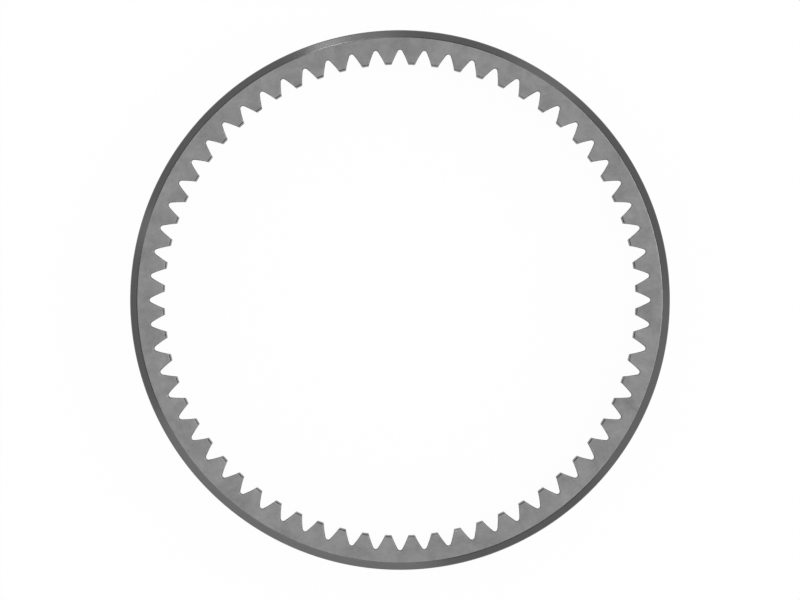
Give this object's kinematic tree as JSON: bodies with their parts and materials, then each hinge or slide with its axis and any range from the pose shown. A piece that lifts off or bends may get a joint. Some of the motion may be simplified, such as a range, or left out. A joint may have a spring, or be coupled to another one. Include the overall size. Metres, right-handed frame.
{
  "type": "internal ring gear",
  "caption": "Plain steel internal ring gear: a wide bevelled ring with straight involute teeth all round its bore, for a planetary gearbox.",
  "frame": {"origin": "centre of the lower face, on the gear's axis", "axes": "+Z along the gear's axis, out of the upper face; +X through the middle of a tooth space"},
  "size_m": [0.285, 0.285, 0.04],
  "materials": {
    "steel": "machined bare steel, dull mid grey, with fine turning marks on the faces and shaping marks along the teeth"
  },
  "bodies": {
    "root": {"ring_gear": "steel"}
  },
  "joints": []
}
